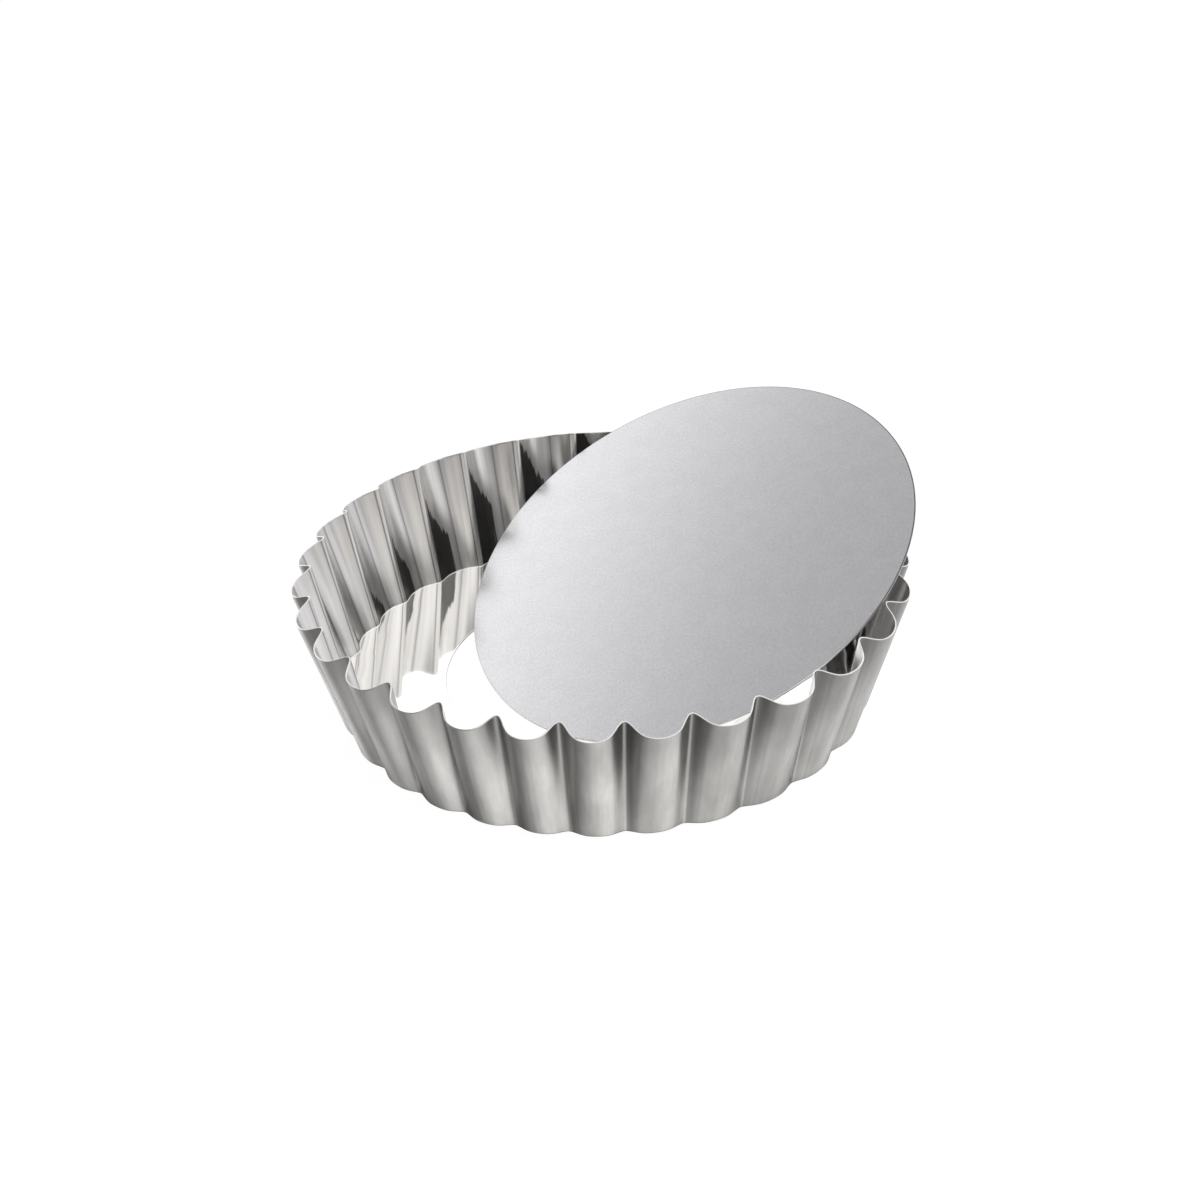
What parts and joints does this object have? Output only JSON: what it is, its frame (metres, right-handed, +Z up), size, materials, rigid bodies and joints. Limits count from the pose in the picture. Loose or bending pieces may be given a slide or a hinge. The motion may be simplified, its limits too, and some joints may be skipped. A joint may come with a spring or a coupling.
{
  "type": "quiche pan",
  "caption": "Deep round fluted baking ring with an inward ledge round a push-out hole, and a loose flat disc base that leans over its rim.",
  "frame": {"origin": "on the axis of the ring, in the plane of its underside, where it stands on the table", "axes": "+Z up along the ring's axis, the base leans over the rim between +X and +Y, -Y towards the picture's viewer"},
  "size_m": [0.2321, 0.2299, 0.0809],
  "materials": {
    "bright_tinplate": "bright rolled tinplate, mirror-like inside the flutes",
    "satin_tinplate": "satin"
  },
  "bodies": {
    "ring": {"fluted_ring": "bright_tinplate"},
    "base": {"loose_base": "satin_tinplate"}
  },
  "joints": [
    {"name": "base_lift", "type": "slide", "parent": "ring", "child": "base", "axis": [0, 0, 1], "range_m": [0, 0.06]}
  ]
}
